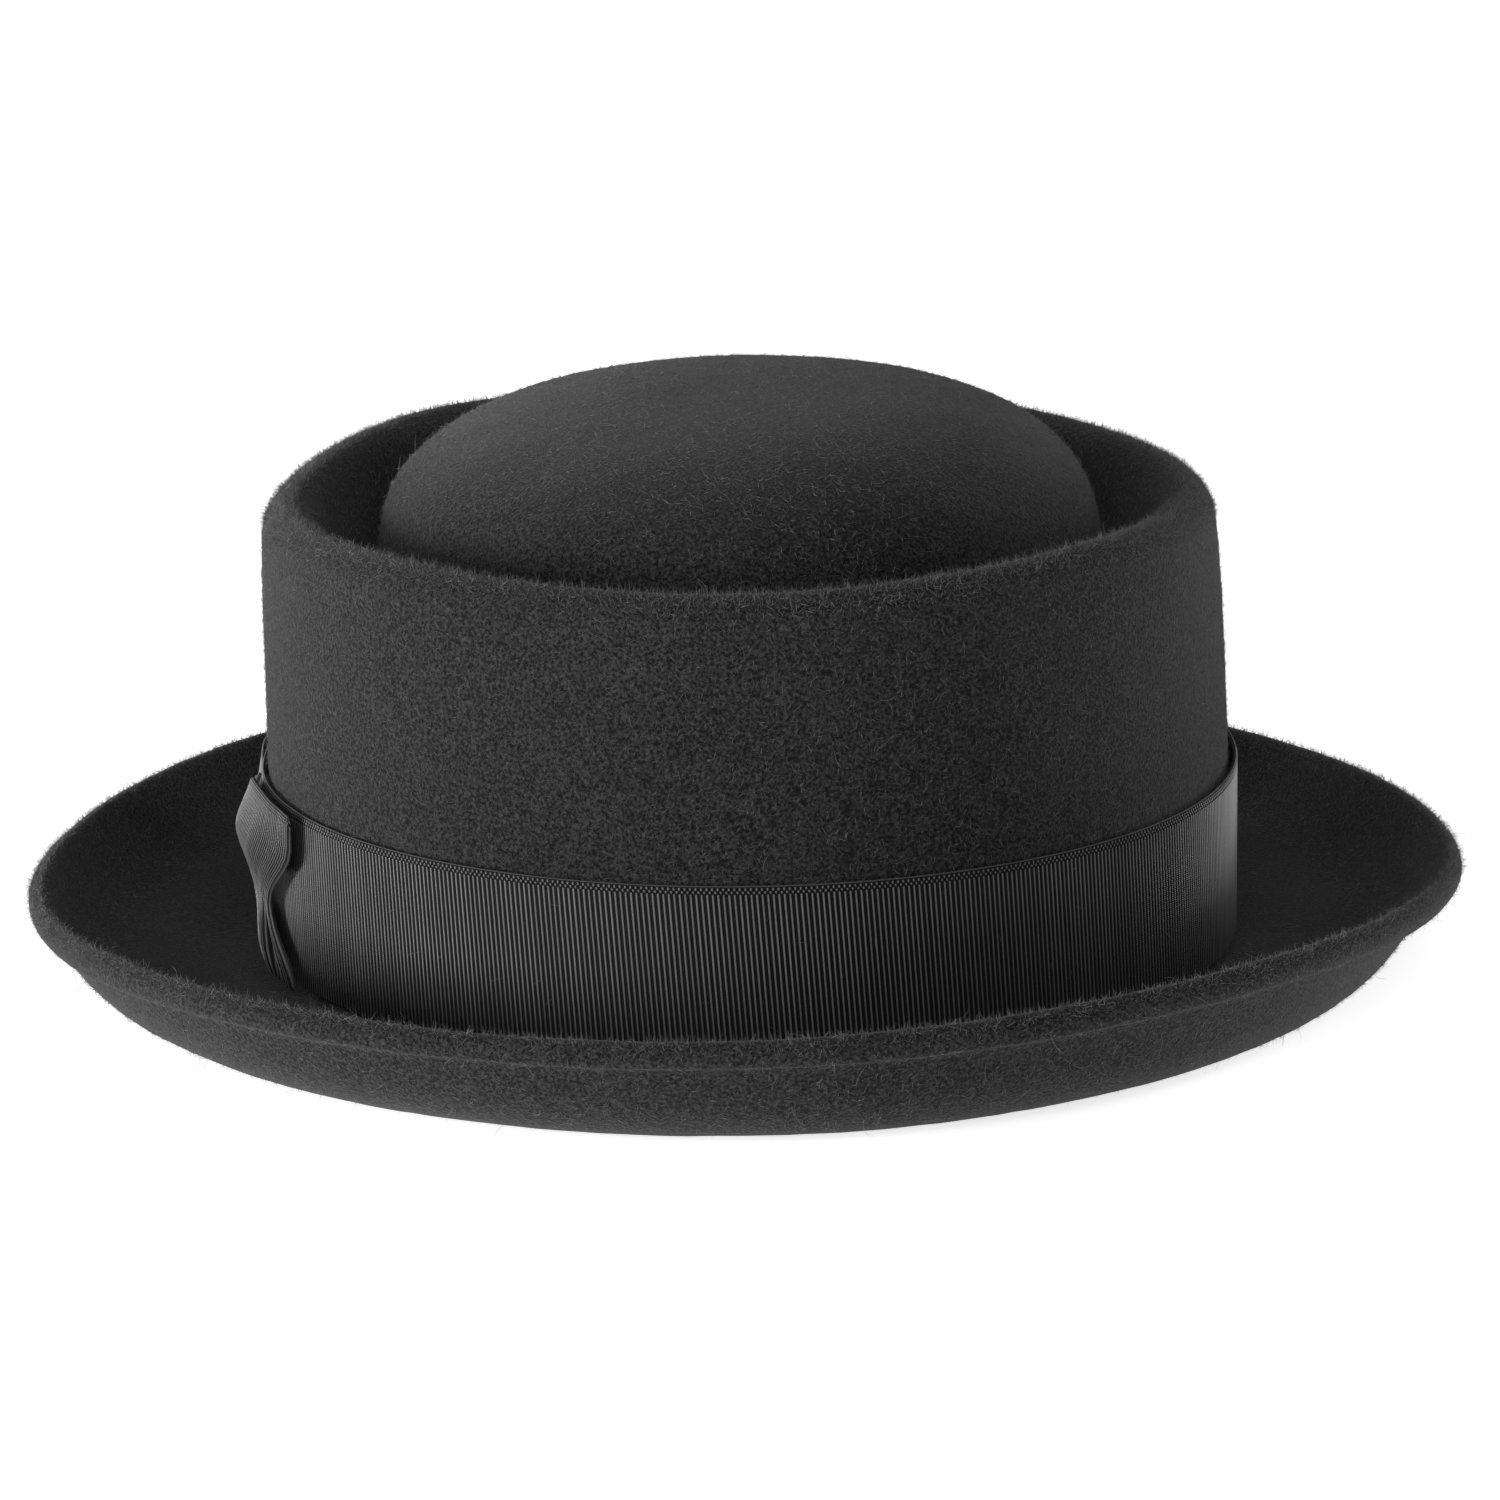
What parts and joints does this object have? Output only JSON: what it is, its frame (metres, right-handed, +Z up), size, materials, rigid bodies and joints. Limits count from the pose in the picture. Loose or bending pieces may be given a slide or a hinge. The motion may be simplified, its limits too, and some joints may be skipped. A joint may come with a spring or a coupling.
{
  "type": "porkpie hat",
  "caption": "Felt porkpie hat with a flat-sided crown, a telescoped dome inside a rolled rim, a curled brim with a folded edge, a ribbed ribbon band and a flat side bow.",
  "frame": {"origin": "middle of the hat's box, on the table plane that the underside of the brim rests on", "axes": "+Z up through the crown, +Y to the hat's front, -X to the wearer's left, where the bow is"},
  "size_m": [0.2622, 0.2918, 0.102],
  "materials": {
    "felt": "matte blocked wool felt, charcoal black, with short fibres",
    "ribbon": "black grosgrain ribbon with a soft sheen across its ribs"
  },
  "bodies": {
    "root": {"felt_body": "felt", "hat_band": "ribbon", "bow_loop_back": "ribbon", "bow_loop_front": "ribbon", "bow_knot": "ribbon"}
  },
  "joints": []
}
